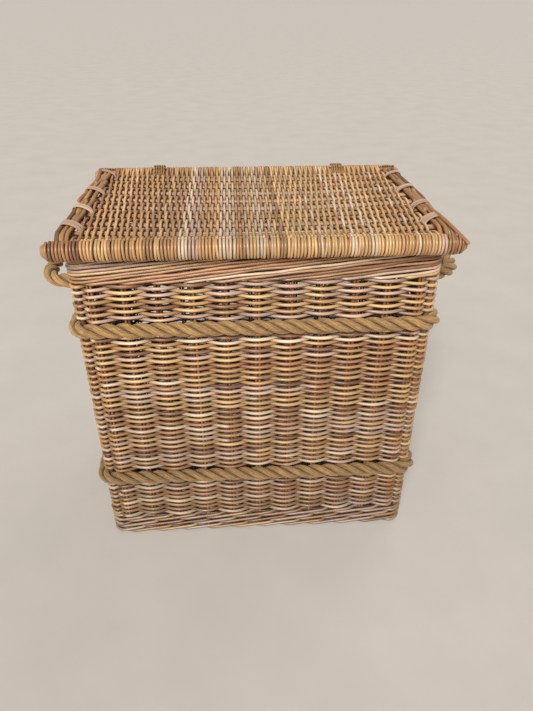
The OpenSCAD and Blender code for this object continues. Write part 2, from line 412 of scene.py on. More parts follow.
def cane_look(name, grain, blotch, rough, coat):
    """Peeled cane: fine grain along the strand, soft blotches, dark specks and a waxy sheen."""
    look = Look(name)
    place = look.attribute("fibre", "Vector")
    streaks = look.noise(place, (60, 1500, 1500), detail=4.0)
    patches = look.noise(place, (22, 60, 60), detail=2.0)
    specks = look.noise(place, (500, 900, 900), detail=2.0)
    colour = look.attribute("tint", "Color")
    colour = look.tone(colour, look.ramp(streaks, 0.3, 0.7, 1 - grain, 1 + grain))
    colour = look.tone(colour, look.ramp(patches, 0.3, 0.7, 1 - blotch, 1 + blotch))
    colour = look.mix(look.ramp(specks, 0.66, 0.74, 0.0, 0.35), colour, UMBER)
    look.bump(streaks, 0.35, 0.0006)
    roughness = look.ramp(patches, 0.3, 0.7, rough - 0.08, rough + 0.12)
    return look.finish(colour, roughness, Coat_Weight=coat, Coat_Roughness=0.28, Specular_IOR_Level=0.5)


def fibre_look(name, yarn_turns, yarn_slope):
    """Laid plant fibre: fine yarns that turn round each strand, with lighter and darker hairs."""
    look = Look(name)
    place = look.attribute("fibre", "Vector")
    hairs = look.noise(place, (110, 700, 700), detail=5.0, roughness=0.75)
    patches = look.noise(place, (30, 120, 120))
    yarns = yarn_pattern(look, place, yarn_turns, yarn_slope)
    colour = look.attribute("tint", "Color")
    colour = look.tone(colour, look.ramp(hairs, 0.3, 0.7, 0.45, 1.5))
    colour = look.tone(colour, look.ramp(patches, 0.3, 0.7, 0.86, 1.12))
    # The yarns are painted darker between their ridges: painted shade in the grooves
    colour = look.tone(colour, look.ramp(yarns, 0.0, 1.0, 0.9, 1.04))
    ridges = look.reckon("MULTIPLY", yarns, look.ramp(hairs, 0.2, 0.8, 0.6, 1.4))
    look.bump(ridges, 0.5, 0.0018)
    roughness = look.ramp(hairs, 0.3, 0.7, 0.7, 0.95)
    return look.finish(colour, roughness, Sheen_Weight=0.25, Sheen_Roughness=0.5, Specular_IOR_Level=0.3)


def yarn_pattern(look, place, turns, slope):
    """Ridges from 0 to 1 that wind round a strand; its angle comes from its own place."""
    split = look.node("SeparateXYZ", {0: place})
    angle = look.reckon("ARCTAN2", split["Z"], split["Y"])
    around = look.reckon("MULTIPLY", angle, turns)
    wound = look.reckon("MULTIPLY_ADD", split["X"], slope, around)
    return look.ramp(look.reckon("SINE", wound), -1.0, 0.6, 0.0, 1.0)


STRAND_LOOK = cane_look("strand_cane", grain=0.16, blotch=0.14, rough=0.4, coat=0.45)
STAKE_LOOK = cane_look("stake_cane", grain=0.14, blotch=0.18, rough=0.52, coat=0.08)
ROD_LOOK = cane_look("rod_cane", grain=0.2, blotch=0.22, rough=0.46, coat=0.12)
LASHING_LOOK = cane_look("lashing_cane", grain=0.1, blotch=0.08, rough=0.4, coat=0.2)
ROPE_LOOK = fibre_look("rope_fibre", yarn_turns=9, yarn_slope=380)
CORD_LOOK = fibre_look("cord_fibre", yarn_turns=3, yarn_slope=900)


# The wall's outline

MID_HALF = WALL_HALF - WALL_T / 2
MID_R = CORNER_R - WALL_T / 2
STRAIGHT = MID_HALF - MID_R
ARC = MID_R * math.pi / 2
SIDE_LENGTHS = [2 * STRAIGHT[0], 2 * STRAIGHT[1]] * 2
CORNER_SIGNS = ([1, -1, 0], [1, 1, 0], [-1, 1, 0], [-1, -1, 0])
PERIMETER = sum(SIDE_LENGTHS) + 4 * ARC


def wall_at(s):
    """Point and outward direction on the wall's mid-line; s is the way along it from the left end of
    the front's straight stretch, counterclockwise seen from above."""
    s = np.mod(s, PERIMETER)
    point = np.zeros(np.shape(s) + (3,))
    out = np.zeros(np.shape(s) + (3,))
    start = 0.0
    for side, length in enumerate(SIDE_LENGTHS):
        turn = side * math.pi / 2
        ahead = np.array([math.cos(turn), math.sin(turn), 0])
        normal = np.array([math.sin(turn), -math.cos(turn), 0])
        corner = np.append(STRAIGHT, 0) * CORNER_SIGNS[side]
        here = (s >= start) & (s < start + length)
        run = (s - start)[..., None]
        line = corner - ahead * length + normal * MID_R + ahead * run
        point = np.where(here[..., None], line, point)
        out = np.where(here[..., None], normal, out)
        start += length
        here = (s >= start) & (s < start + ARC)
        angle = turn - math.pi / 2 + (s - start) / MID_R
        spoke = np.stack([np.cos(angle), np.sin(angle), 0 * angle], axis=-1)
        point = np.where(here[..., None], corner + spoke * MID_R, point)
        out = np.where(here[..., None], spoke, out)
        start += ARC
    return point, out


def stations():
    """Places along the wall of each stake pair and corner post, and whether each is a post."""
    places = []
    posts = []
    start = 0.0
    for pairs, length in zip(PAIRS, SIDE_LENGTHS):
        first = start + (length - (pairs - 1) * STAKE_PITCH) / 2
        places.extend(first + np.arange(pairs) * STAKE_PITCH)
        places.append(start + length + ARC / 2)
        posts.extend([False] * pairs + [True])
        start = start + length + ARC
    return np.array(places), np.array(posts)


PLACES, POSTS = stations()
REACH = np.where(POSTS, POST_R, STAKE_R + BOW) + STRAND_R


def weave_samples():
    """Places along a row, the stations that each lies between, and how far it is across."""
    gaps = np.append(PLACES[1:], PLACES[0] + PERIMETER) - PLACES
    steps = np.maximum(4, np.round(STEPS_PER_PAIR * gaps / STAKE_PITCH)).astype(int)
    before = np.repeat(np.arange(len(PLACES)), steps)
    share = np.concatenate([np.arange(count) / count for count in steps])
    return PLACES[before] + gaps[before] * share, before, share


def along_row(values, before, share):
    """Values at the stations, carried smoothly to the points between them."""
    after = (before + 1) % len(PLACES)
    t = ease(share)
    return values[..., before] * (1 - t) + values[..., after] * t


def sway(rng, s, z, size):
    """A slow wander that neighbouring rows share, as handmade walls have."""
    total = np.zeros(np.broadcast(s, z).shape)
    for waves in (3, 5, 8, 13, 21):
        phase = rng.uniform(0, 2 * math.pi)
        lean = rng.uniform(-25, 25)
        total = total + np.sin(2 * math.pi * waves * s / PERIMETER + phase + lean * z)
    return total * size / 3


def run_tints(rng, mix, count, run, at=0):
    """A colour for each of a row of places, the same for as long as one strand or bundle lasts."""
    tints = np.zeros((count, 3))
    while at < count:
        end = at + int(rng.integers(*run))
        tints[max(at, 0):end] = pick(rng, mix, 1)
        at = end
    return tints


def rows_between(low, high):
    """How many rows fit between two heights."""
    return int(round((high - low) / ROW_PITCH))


def low_darkening(z):
    """How much darker the cane is towards the floor."""
    return DARKEST_AT_FLOOR + (1 - DARKEST_AT_FLOOR) * ease(np.asarray(z) / DARKER_UP_TO)


def weave_band(name, seed, low, high, mix, first, *nodes):
    """Rows of plain weave round the stakes, from one height to another. The number of the first row
    says whether it starts outside or inside."""
    rng, strands = begin(seed)
    rows = rows_between(low, high)
    pitch = (high - low) / rows
    grid = (rows, len(PLACES))
    where, before, share = weave_samples()
    heights = low + pitch * (np.arange(rows) + 0.5)
    signs = (-1.0) ** (first + np.arange(rows)[:, None] + np.arange(len(PLACES))[None])
    reach = signs * REACH * rng.uniform(*REACH_SPREAD, grid)
    offset = along_row(reach, before, share)
    nudge = along_row(rng.normal(0, ROW_NUDGE, grid), before, share)
    point, out = wall_at(where)
    drift = draws(seed + 1)
    z = heights[:, None] + nudge + sway(drift, where[None], heights[:, None] * 0, ROW_SWAY)
    offset = offset + sway(drift, where[None], heights[:, None], ROW_SWAY)
    paths = point[None] + out[None] * offset[..., None] + UP * z[..., None]
    runs = [run_tints(rng, mix, len(PLACES), STRAND_RUN, -int(rng.integers(0, STRAND_RUN[1])))
            for _ in range(rows)]
    tints = np.stack(runs)[:, before]
    shade = along_row(rng.uniform(*ROW_SHADES, grid), before, share)
    shade = shade * low_darkening(heights)[:, None] * WALL_SHADE
    # The parts of each row behind the stakes, which get painted shade
    inner = along_row(np.where(signs > 0, 0.0, 1.0), before, share)

    def hidden(points, turn):
        """Painted shade below, on the side towards the inside, and behind stakes most on the outer side.
        """
        outward = 0.3 + 0.7 * np.clip(np.cos(turn) + 0.3, 0, 1)
        inward = 1 - (1 - INSIDE) * np.clip(-np.cos(turn), 0, 1)
        return below(points, turn) * inward * (1 - (1 - BEHIND) * inner[..., None] * outward)

    radii = STRAND_R * along_row(rng.uniform(*ROW_THICK, grid), before, share)
    strands.add(paths, radii, tints * shade[..., None], UP, closed=True, soil=hidden)
    strands.build(name, STRAND_LOOK, "hamper", "weaving_strand", *nodes)


def stakes(name, seed, side, *nodes):
    """The pairs of stakes of one wall, each a slightly crooked rod."""
    rng, strands = begin(seed)
    first = sum(PAIRS[:side]) + side
    heights = np.linspace(*STAKE_SPAN, STEPS_PER_STAKE)
    for place in PLACES[first:first + PAIRS[side]]:
        for half in (-1, 1):
            bend = crooked(rng, heights, ROD_BEND, 2)
            point, _ = wall_at(np.array(place + half * STAKE_APART / 2))
            path = point + UP * heights[:, None] + bend
            radii = STAKE_R * rng.uniform(0.92, 1.06)
            strands.add(path, radii, pick(rng, STAKE_MIX, 1) * STAKE_SHADE, ALONG_X)
    strands.build(name, STAKE_LOOK, "hamper", "stake", *nodes)


def corner_post(node, seed):
    """One thick upright in a corner of the wall."""
    rng, strands = begin(seed)
    heights = np.linspace(*POST_SPAN, STEPS_PER_STAKE)
    middle = centre_of(node) * [1, 1, 0]
    path = middle + UP * heights[:, None] + crooked(rng, heights, ROD_BEND, 2)
    strands.add(path, POST_R, pick(rng, {BROWN: 1, TAN: 1}, 1) * STAKE_SHADE, ALONG_X, sides=14)
    strands.build(node + "_cane", STAKE_LOOK, "hamper", "stake", node)


# Borders and base

BORDER_STRANDS = 38
BORDER_SHADE = 0.8
BORDER_STRAND_R = 2.5 * MM
BORDER_OUT = 6.2 * MM
BORDER_LEAD = 16 * MM
BORDER_RISE = 310 * MM
BORDER_OVER = 80 * MM
BORDER_ARCH = 3.0 * MM
BORDER_STEP = 5 * MM
BORDER_LOW = 2.4 * MM
BORDER_WANDER = 1.1 * MM
BORDER_STAND = 0.8 * MM
# The border cores are tinted dark: painted shade in the borders' gaps
CORE_R = 2.6 * MM
CORE_SHADE = 0.6


def top_border(name, seed):
    """Strands that climb the outside, cross the top and go down the inside, one after another."""
    rng, strands = begin(seed)
    low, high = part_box("top_border")
    foot = low.z + BORDER_LOW
    head = high.z - BORDER_STRAND_R - BORDER_ARCH - 0.2 * MM
    total = 2 * (BORDER_LEAD + BORDER_RISE) + BORDER_OVER
    travel = np.arange(0, total, BORDER_STEP)
    starts = np.arange(BORDER_STRANDS) * PERIMETER / BORDER_STRANDS
    starts = starts + rng.uniform(-3, 3, BORDER_STRANDS) * MM
    point, out = wall_at(starts[:, None] + travel[None])
    climb = np.clip((travel - BORDER_LEAD) / BORDER_RISE, 0, 1)
    fall = np.clip((travel - BORDER_LEAD - BORDER_RISE - BORDER_OVER) / BORDER_RISE, 0, 1)
    cross = np.clip((travel - BORDER_LEAD - BORDER_RISE) / BORDER_OVER, 0, 1)
    z = foot + (head - foot) * (climb - fall) + np.sin(np.pi * cross) * BORDER_ARCH
    enter = ease(travel / BORDER_LEAD)
    leave = ease((total - travel) / BORDER_LEAD)
    offset = BORDER_OUT * np.cos(np.pi * ease(cross)) * enter * leave
    wander = sway(rng, travel[None] + starts[:, None], starts[:, None] * 3, BORDER_WANDER)
    stand = sway(rng, travel[None] * 2 + starts[:, None], starts[:, None] * 11, BORDER_STAND)
    stand = stand * enter * leave
    paths = point + out * (offset[None] + stand)[..., None] + UP * (z[None] + wander)[..., None]
    tints = pick(rng, BORDER_MIX, BORDER_STRANDS) * BORDER_SHADE
    shade = 1 + sway(rng, travel[None] * 7 + starts[:, None], starts[:, None] * 9, 0.12)
    radii = BORDER_STRAND_R * rng.uniform(0.84, 1.08, (BORDER_STRANDS, 1))
    strands.add(paths, radii, tints[:, None] * shade[..., None], UP, soil=below)
    core_rings(strands, rng, low.z + 4 * MM, head - 3 * MM, 6)
    strands.build(name, STRAND_LOOK, "hamper", "border_strand", "top_border")


def core_rings(strands, rng, low, high, count):
    """Plain strands between the two faces of a border, seen only through its gaps; their dark tint is
    painted shade there.
    """
    where = np.arange(0, PERIMETER, 12 * MM)
    point, _ = wall_at(where)
    heights = np.linspace(low, high, count)
    paths = point[None] + UP * heights[:, None, None]
    tints = pick(rng, {UMBER: 1}, count)[:, None] * CORE_SHADE
    strands.add(paths, CORE_R, tints, UP, closed=True)


FOOT_COURSES = 3
FOOT_PERIODS = 12
FOOT_RODS = 3
FOOT_ROD_R = 2.65 * MM
FOOT_OUT = 6.2 * MM
FOOT_CLOSER = 1.3 * MM
FOOT_SHADE = 0.92
FOOT_STEPS = 384
FOOT_RUN = (24, 90)
FRONT_SHARE = 2 / 3
TURN_SHARE = 0.22


def foot_border(name, seed):
    """Courses of three rods, each over two stakes and behind one, rising as they go."""
    rng, strands = begin(seed)
    low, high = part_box("foot_border")
    pitch = (high.z - low.z) / FOOT_COURSES - FOOT_CLOSER
    first = low.z + pitch / 2 + FOOT_ROD_R
    where = np.arange(0, PERIMETER, PERIMETER / FOOT_STEPS)
    point, out = wall_at(where)
    lean = sway(rng, where, 0.0, ROW_SWAY)
    for course in range(FOOT_COURSES):
        for rod in range(FOOT_RODS):
            phase = where / PERIMETER * FOOT_PERIODS - rod / FOOT_RODS + course / 6
            phase = np.mod(phase, 1)
            front = np.clip(phase / FRONT_SHARE, 0, 1)
            back = np.clip((phase - FRONT_SHARE) / (1 - FRONT_SHARE), 0, 1)
            z = first + course * pitch + pitch * (front - 0.5 - ease(back))
            turn = ease(front / TURN_SHARE) * ease((1 - front) / TURN_SHARE)
            depth = np.sin(np.pi * back)
            offset = FOOT_OUT * (turn - depth) + 0.3 * MM * np.sin(where * 70 + rod)
            tints = run_tints(rng, FOOT_MIX, len(where), FOOT_RUN)
            z = np.maximum(z + lean, low.z + FOOT_ROD_R * 1.02)
            path = point + out * offset[:, None] + UP * z[:, None]
            radius = FOOT_ROD_R * rng.uniform(0.93, 1.03)
            # Painted shade on rods where they go behind the stakes
            shade = low_darkening(z) * FOOT_SHADE * (1 - (1 - BEHIND) * depth)
            strands.add(path, radius, tints[None] * shade[None, :, None], UP, closed=True, soil=sunk)
    core_rings(strands, rng, low.z + 8 * MM, high.z - 6 * MM, 4)
    strands.build(name, STRAND_LOOK, "hamper", "border_strand", "foot_border")


BASE_STICKS = 9
BASE_PITCH = 5.6 * MM
BASE_STRAND_R = 2.5 * MM


def base(seed):
    """The woven bottom: strands from front to back over and under nine thick sticks."""
    rng = draws(seed)
    low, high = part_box("base_panel")
    stick_low, stick_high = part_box("base_sticks")
    middle = centre_of("base_sticks")[2]
    radius = (stick_high.z - stick_low.z) / 2
    places = np.linspace(stick_low.y + radius, stick_high.y - radius, BASE_STICKS)
    sticks = Strands(seed)
    x = np.linspace(stick_low.x, stick_high.x, 40)
    for place in places:
        bend = crooked(rng, x, 0.8 * MM, 3)
        path = np.stack([x, np.full_like(x, place), np.full_like(x, middle)], 1) + bend
        sticks.add(path, radius * 0.96, pick(rng, ROD_MIX, 1), UP, sides=12)
    sticks.build("base_stick_canes", ROD_LOOK, "hamper", "stake", "base_sticks")
    weave = Strands(seed + 1)
    count = int((high.x - low.x) / BASE_PITCH)
    xs = np.linspace(low.x + BASE_STRAND_R, high.x - BASE_STRAND_R, count)
    y = np.linspace(low.y + BASE_STRAND_R, high.y - BASE_STRAND_R, 80)
    pitch = places[1] - places[0]
    wave = np.cos(np.pi * (y - places[0]) / pitch)
    swing = (high.z - low.z) / 2 - BASE_STRAND_R
    z = middle + swing * wave[None] * (-1.0) ** np.arange(count)[:, None]
    bend = rng.normal(0, 0.25 * MM, (count, 1)) + 0 * y[None]
    paths = np.stack([xs[:, None] + bend, np.broadcast_to(y, z.shape), z], axis=-1)
    # The base weave is painted darker: painted shade inside the hamper
    weave.add(paths, BASE_STRAND_R, pick(rng, WALL_MIX, count)[:, None] * BASE_SHADE, ALONG_X)
    weave.build("base_weave", STRAND_LOOK, "hamper", "weaving_strand", "base_panel")


# Rope

ROPE_R = 12 * MM
ROPE_STEP = 2.6 * MM
HAIR_R = 0.16 * MM
HOOP_HAIRS = 420
HANDLE_HAIRS = 120
INNER_BEND = 14 * MM
OUTER_BEND = 45 * MM

# Radius, strand radius, number of strands and length of one turn
ROPE = (ROPE_R, 5.5 * MM, 3, 78 * MM)


def lay_rope(strands, rng, centre, out, up, rope, sides=14, press=None):
    """Strands laid round a closed centreline, a whole number of turns in all."""
    radius, strand_r, count, lay = rope
    along = lengths(centre)
    whole = along[-1] + np.linalg.norm(centre[0] - centre[-1])
    turns = round(whole / lay)

    # Painted shade in the grooves between the rope's strands, darkest nearest its axis
    def grooves(points, turn):
        depth = np.linalg.norm(points - centre[None, :, None], axis=-1) / radius
        return ROPE_GROOVE + (1 - ROPE_GROOVE) * ease((depth - 0.5) / 0.42)

    for i in range(count):
        angle = -2 * math.pi * (turns * along / whole + i / count)
        ring = np.cos(angle)[:, None] * out + np.sin(angle)[:, None] * up
        path = centre + ring * (radius - strand_r)
        tint = linear(SISAL) * rng.uniform(0.92, 1.08) * low_darkening(centre[0, 2]) ** ROPE_DARKENING
        slow = 1 + 0.07 * np.sin(2 * math.pi * (3 * along / whole + rng.random()))
        radii = strand_r * (1 + 0.02 * np.sin(2 * math.pi * (11 * along / whole + rng.random())))
        colour = tint * slow[None, :, None]
        strands.add(path, radii[None], colour, up, True, sides, press=press, soil=grooves)


def rope_hoop(name, seed, node):
    """A hoop of laid rope round the wall, pressed flat where it lies on the stakes."""
    rng, strands = begin(seed)
    height = centre_of(node)[2]
    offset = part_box(node)[1].x - ROPE_R - MID_HALF[0]
    steps = int(PERIMETER / ROPE_STEP)
    where = np.arange(steps) * PERIMETER / steps
    point, out = wall_at(where)
    centre = point + out * offset + UP * height
    seat = STAKE_R + 0.3 * MM - offset

    def press(points):
        depth = np.einsum("smdk,mk->smd", points - centre[None, :, None], out)
        lift = np.maximum(seat - depth, 0)
        return points + lift[..., None] * out[None, :, None]

    lay_rope(strands, rng, centre, out, UP, ROPE, press=press)
    hairs(strands, rng, centre, out, HOOP_HAIRS)
    strands.build(name, ROPE_LOOK, "hamper", "rope", node)


def hairs(strands, rng, centre, out, count):
    """Short loose fibres that stand off the rope."""
    at = rng.integers(0, len(centre) - 6, count)
    angle = rng.uniform(-0.5 * math.pi, 0.5 * math.pi, count)
    spoke = np.cos(angle)[:, None] * out[at] + np.sin(angle)[:, None] * UP
    ahead = unit(centre[at + 4] - centre[at])
    reach = rng.uniform(3, 9, (count, 1)) * MM
    start = centre[at] + spoke * ROPE_R * 0.9
    middle = start + ahead * reach * 0.6 + spoke * rng.uniform(0.5, 2.2, (count, 1)) * MM
    end = start + ahead * reach * 1.3 + spoke * rng.uniform(0.2, 2.6, (count, 1)) * MM
    paths = np.stack([start, (start + middle) / 2, middle, end], axis=1)
    tints = linear(STRAW) * rng.uniform(0.6, 1.0, (count, 1, 1))
    strands.add(paths, HAIR_R, tints, unit(np.array([0.3, 0.2, 0.9])), sides=3)


def quarter(centre, radius, start):
    """Points of a level quarter circle, clockwise from an angle in degrees."""
    count = max(4, int(radius * math.pi / 2 / ROPE_STEP))
    angle = np.radians(np.linspace(start, start - 90, count))
    around = np.stack([np.cos(angle), np.sin(angle), 0 * angle], axis=1)
    return np.array(centre) + radius * around


def handle_centreline(side):
    """The closed route of a handle's rope: inside the wall, out through it and back."""
    loop_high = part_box("handle_right")[1]
    z = centre_of("handle_right")[2]
    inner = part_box("handle_run_right")[0].x + ROPE_R + INNER_BEND
    outer = loop_high.x - ROPE_R - OUTER_BEND
    half = loop_high.y - ROPE_R
    bends = [
        quarter((inner, half - INNER_BEND, z), INNER_BEND, 180),
        quarter((outer, half - OUTER_BEND, z), OUTER_BEND, 90),
        quarter((outer, OUTER_BEND - half, z), OUTER_BEND, 0),
        quarter((inner, INNER_BEND - half, z), INNER_BEND, -90),
    ]
    route = resample(np.vstack(bends), ROPE_STEP, closed=True)
    return route * np.array([side, 1, 1])


def handle(name, seed, side, body, *nodes):
    """One closed loop of rope, its inner run in the wall and its outer loop outside it."""
    rng, strands = begin(seed)
    centre = smooth(handle_centreline(side), 6)
    out = np.cross(heading(centre), UP)
    lay_rope(strands, rng, centre, out, UP, ROPE)
    hairs(strands, rng, centre, out, HANDLE_HAIRS)
    piece = strands.build(name, ROPE_LOOK, None, "rope", *nodes)
    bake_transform(piece)


# Hinge cords

CORD_TURNS = 5
CORD_R = 2.0 * MM
CORD = (CORD_R, 1.3 * MM, 2, 14 * MM)
CORD_CLEAR = 0.7 * MM
CORD_BEND = 6 * MM
CORD_OUT = 3.6 * MM
CORD_ARC = (-12, 192)
CORD_STEP = 1.6 * MM


def hinge_cord(name, seed, node):
    """Turns of cord round the back roll and through the border, side by side."""
    rng, strands = begin(seed)
    low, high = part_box(node)
    axis_y, axis_z, reach = roll_centre("lid_back_binding")
    ring_r = reach + LID_STRAND_R + CORD_CLEAR + CORD_R
    ring = np.radians(np.linspace(*CORD_ARC, 60))
    slot_z = low.z + CORD_R
    inner = low.y + CORD_R
    outer = WALL_HALF[1] + CORD_OUT
    for turn in range(CORD_TURNS):
        x = low.x + (turn + 0.5) * (high.x - low.x) / CORD_TURNS
        y = axis_y + ring_r * np.cos(ring)
        z = axis_z + ring_r * np.sin(ring)
        top = np.stack([np.full_like(y, x), y, z], axis=1)
        feet = [(x, inner, slot_z + CORD_BEND), (x, inner + CORD_R, slot_z), (x, outer - CORD_R, slot_z),
                (x, outer, slot_z + CORD_BEND)]
        route = smooth(resample(np.vstack([top, feet]), CORD_STEP, closed=True), 3)
        lay_rope(strands, rng, route, np.cross(heading(route), ALONG_X), ALONG_X, CORD, sides=7)
    strands.build(name, CORD_LOOK, "hamper", "hinge_cord", node)


# The lid

LID_PITCH = 4.78 * MM
# The lid's top is painted lighter than the same strands on its rolls: painted light
PANEL_PAINTED_LIGHT = 1.26
# How dark strands are painted where they pass under the cross sticks: painted shade
UNDER_STICKS = 0.42
LID_STRAND_R = 2.24 * MM
LID_RUN = (1, 4)
CROSS_PAIRS = 8
CROSS_PITCH = 42 * MM
CROSS_APART = 5.6 * MM
CROSS_R = 2.5 * MM
CROSS_BOW = 14 * MM
LID_SAG = 4 * MM
PANEL_HALF = np.array([266, 190]) * MM
BROWN_LEFT = -248 * MM
BROWN_RIGHT = 272 * MM
BROWNER_FROM = -100 * MM
BROWNER_OVER = 140 * MM
BROWNER_SHARE = 0.3
BROWNER_LIGHT = 1.7
HINGE_STOP = 24 * MM
HINGE_DIP = 7 * MM
WRAP_START = 88
WRAP_END = -190


def lid_places():
    """Where the strands and wraps of the lid stand along the rolls."""
    low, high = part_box("lid_front_binding")
    count = int((high.x - low.x) / LID_PITCH)
    return (np.arange(count) - (count - 1) / 2) * LID_PITCH


def lid_tints(rng, places):
    """Colours across the lid: bundles of like strands, browner at both ends."""
    tints = run_tints(rng, LID_MIX, len(places), LID_RUN)
    ends = (places > BROWN_RIGHT) | (places < BROWN_LEFT)
    tints[ends] = pick(rng, {BROWN: 3, ORANGE: 3, TAN: 2}, int(ends.sum()))
    return tints * rng.uniform(0.86, 1.02, (len(places), 1))


def bow(x):
    """How far the cross sticks bend to the front, x from the middle."""
    return CROSS_BOW * (1 - (x / PANEL_HALF[0]) ** 2)


def sag(x, y):
    """How far the lid hangs through at a place."""
    across = np.clip(1 - (x / PANEL_HALF[0]) ** 2, 0, 1)
    return LID_SAG * across * np.clip(1 - (y / PANEL_HALF[1]) ** 2, 0, 1)


def at_hinge(places):
    """True for strands that would run into a hinge cord."""
    low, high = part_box("hinge_cord_right")
    near = np.abs(places)
    return (near > low.x - 1.5 * MM) & (near < high.x + 1.5 * MM)


def lid(seed):
    """The woven top and the wraps of both rolls, the same strands running through all three."""
    rng = draws(seed)
    places = lid_places()
    tints = lid_tints(rng, places)
    radii = LID_STRAND_R * rng.uniform(0.95, 1.07, len(places))
    shift = rng.normal(0, 0.35 * MM, len(places))
    panel(seed + 1, places, tints, radii, shift)
    roll("front_roll_wraps", seed + 2, "lid_front_binding", -1, places, tints, radii, shift)
    roll("back_roll_wraps", seed + 3, "lid_back_binding", 1, places, tints, radii, shift)


def roll_centre(node):
    """The axis of a roll, and how far the middle of its wrapping strand is from it."""
    low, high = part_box(node)
    _, y, z = centre_of(node)
    return y, z, (high.z - low.z) / 2 - LID_STRAND_R


def panel(seed, places, tints, radii, shift):
    """Strands from front to back over and under the cross pairs."""
    rng, strands = begin(seed)
    front_y, roll_z, reach = roll_centre("lid_front_binding")
    back_y = roll_centre("lid_back_binding")[0]
    top = roll_z + reach
    middle = cross_height()
    first = cross_places()[0]
    inside = np.abs(places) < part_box("lid_panel")[1].x - LID_STRAND_R
    notched = at_hinge(places) & inside
    browner = BROWNER_SHARE * ease((BROWNER_FROM - places) / BROWNER_OVER)[:, None]
    tints = tints * (1 - browner) + linear(ORANGE) * BROWNER_LIGHT * browner
    for chosen, end in ((inside & ~notched, back_y), (notched, back_y - HINGE_STOP)):
        y = np.linspace(front_y, end, 96)
        number = np.nonzero(chosen)[0]
        parity = (-1.0) ** number[:, None]
        swing = (CROSS_R + LID_STRAND_R) * rng.uniform(0.96, 1.08, (len(number), 1))
        over = parity * wave(y[None] + bow(places[number])[:, None], first)
        woven = middle + swing * over - sag(places[number][:, None], y[None])
        to_front = ease((y - front_y) / (first - CROSS_PITCH / 2 - front_y))
        to_back = ease((back_y - y) / (back_y - cross_places()[-1] - CROSS_PITCH / 2))
        blend = (to_front * to_back)[None]
        z = top * (1 - blend) + woven * blend
        if end < back_y:
            z = z - HINGE_DIP * ease((y - end) / (HINGE_STOP / 2) + 1)[None]
        snake = sway(rng, y[None] * 1.7, number[:, None] * 0.02, 0.35 * MM)
        x = (places + shift)[number][:, None] + snake
        paths = np.stack([x, np.broadcast_to(y, z.shape), z], axis=-1)
        shade = 1 + sway(rng, y[None] * 5, number[:, None] * 1.3, 0.07)
        # Painted light on the top, and painted shade where a strand passes under the sticks
        shade = shade * PANEL_PAINTED_LIGHT * (1 - (1 - UNDER_STICKS) * (0.5 - 0.5 * over) * blend)
        colour = tints[number][:, None] * shade[..., None]
        strands.add(paths, radii[number][:, None] * 1.06, colour, ALONG_X, soil=flanks)
    strands.build("lid_weave", STRAND_LOOK, "lid", "lid_strand", "lid_panel")


def wave(y, first):
    """Over the first pair, under the next, and so on, flat where it crosses them."""
    turn = np.cos(np.pi * (y - first) / CROSS_PITCH)
    return np.sign(turn) * np.abs(turn) ** 0.8


def cross_places():
    """The middles of the cross pairs, from front to back."""
    return centre_of("lid_sticks")[1] + (np.arange(CROSS_PAIRS) - (CROSS_PAIRS - 1) / 2) * CROSS_PITCH


def cross_height():
    """The height of the cross pairs."""
    return centre_of("lid_sticks")[2]


def roll(name, seed, node, side, places, tints, radii, shift):
    """Wraps round one roll, from the panel over the top and round to its underside."""
    rng, strands = begin(seed)
    y, z, reach = roll_centre(node)
    turn = np.radians(np.linspace(WRAP_START, WRAP_END, 26))
    lean = rng.normal(0, 0.5 * MM, (len(places), 1)) * np.sin(turn)[None]
    swell = 1 + rng.uniform(-0.02, 0.025, (len(places), 1))
    swell[[0, -1]] -= 0.07
    swell[[1, -2]] -= 0.02
    ring_y = y + side * reach * swell * np.cos(turn)[None]
    ring_z = z + reach * swell * np.sin(turn)[None]
    x = (places + shift)[:, None] + lean
    paths = np.stack([x, ring_y, ring_z], axis=-1)
    shade = 1 + 0.06 * np.sin(turn[None] * 2 + rng.uniform(0, 6, (len(places), 1)))
    strands.add(paths, radii[:, None], tints[:, None] * shade[..., None], ALONG_X, soil=flanks)
    strands.build(name, STRAND_LOOK, "lid", "lid_strand", node)


def roll_core(node, seed):
    """The thick rod inside a roll, seen at its two cut ends."""
    rng, strands = begin(seed)
    low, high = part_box(node)
    x = np.linspace(low.x, high.x, 60)
    middle = centre_of(node) * [0, 1, 1]
    path = middle + ALONG_X * x[:, None] + crooked(rng, x, 0.3 * MM, 3) * [0, 1, 1]
    strands.add(path, (high.z - low.z) / 2 * 0.97, pick(rng, {ORANGE: 1, TAN: 1}, 1), UP, sides=24)
    strands.build(node + "_cane", ROD_LOOK, "lid", "lid_rod", node)


def cross_sticks(seed):
    """Eight pairs of sticks across the lid."""
    rng, strands = begin(seed)
    low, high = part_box("lid_sticks")
    x = np.linspace(low.x, high.x, 70)
    for place in cross_places():
        for half in (-1, 1):
            bend = crooked(rng, x, 0.7 * MM, 3)
            level = np.array([0, place + half * CROSS_APART / 2, cross_height()])
            path = level + ALONG_X * x[:, None] + bend * [0, 1, 0.5]
            path = path - ALONG_Y * np.maximum(bow(x), 0)[:, None] - UP * sag(x, place)[:, None]
            tint = pick(rng, {BLUSH: 3, TAN: 2}, 1) * 0.8
            strands.add(path, CROSS_R * rng.uniform(0.94, 1.03), tint, UP)
    strands.build("lid_cross_sticks", STAKE_LOOK, "lid", "stake", "lid_sticks")


RAIL_RODS = 3
RAIL_ROD_R = 3.8 * MM
RAIL_JOINS = (-70 * MM, 45 * MM, -15 * MM)
RAIL_LAP = 30 * MM
RAIL_END = 8 * MM
RAIL_DROP = 9 * MM
RAIL_DROP_OVER = 26 * MM
RAIL_BEND = 2.6 * MM
RAIL_MIX = {ORANGE: 3, HONEY: 3, TAN: 4, BROWN: 2}
RAIL_SHADE = 0.85


